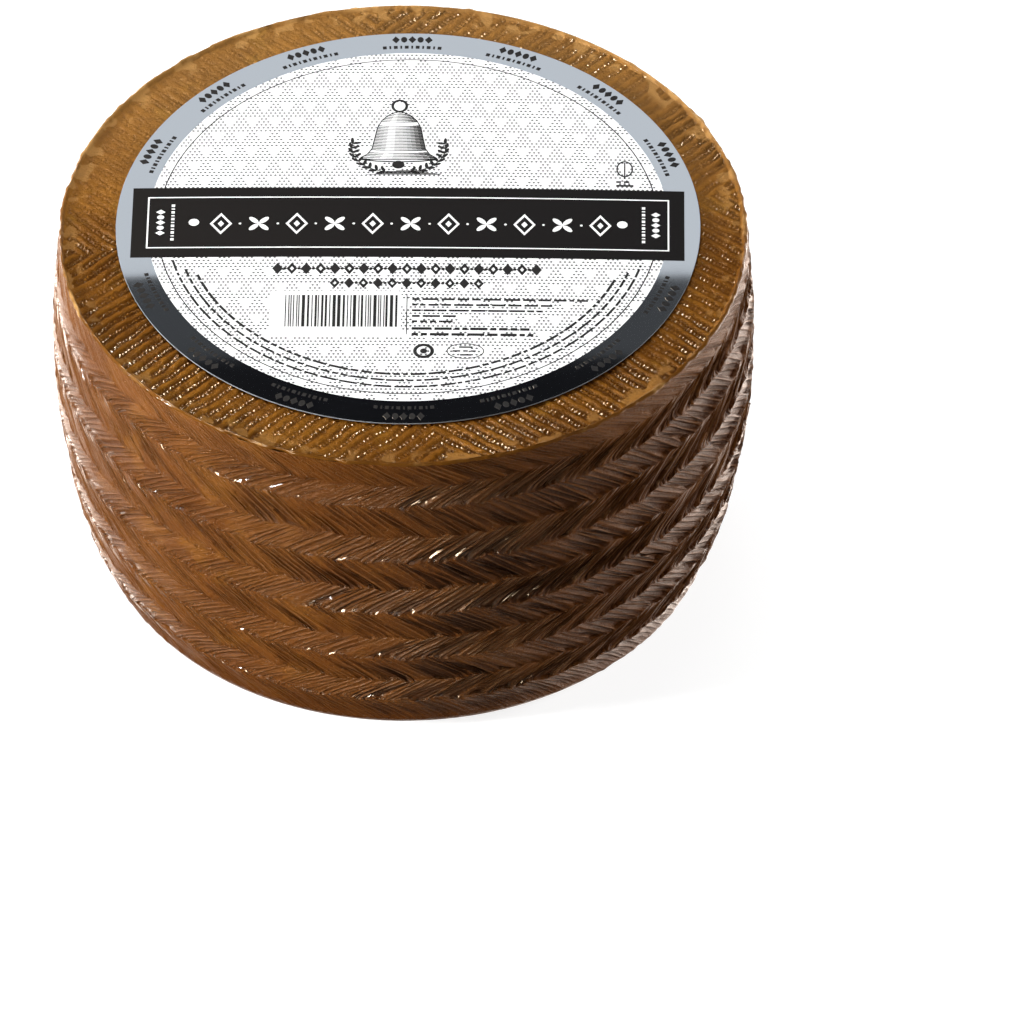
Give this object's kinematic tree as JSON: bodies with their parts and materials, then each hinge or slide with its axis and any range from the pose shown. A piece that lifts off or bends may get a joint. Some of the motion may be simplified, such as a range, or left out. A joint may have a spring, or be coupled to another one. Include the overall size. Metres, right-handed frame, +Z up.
{
  "type": "aged sheep cheese wheel",
  "caption": "Whole wheel of aged sheep cheese: waxed brown rind with the imprint of a plaited band round its side, ridged top face and a round paper label.",
  "frame": {"origin": "middle of the flat resting face under the wheel", "axes": "+Z up along the wheel's axis, -Y towards the viewer of the picture, +X to the viewer's right"},
  "size_m": [0.1902, 0.1892, 0.107],
  "materials": {
    "rind": "waxed cheese rind, uneven soft gloss",
    "label_paper": "coated paper with a silver foil rim"
  },
  "bodies": {
    "root": {"wheel": "rind", "label": "label_paper"}
  },
  "joints": []
}
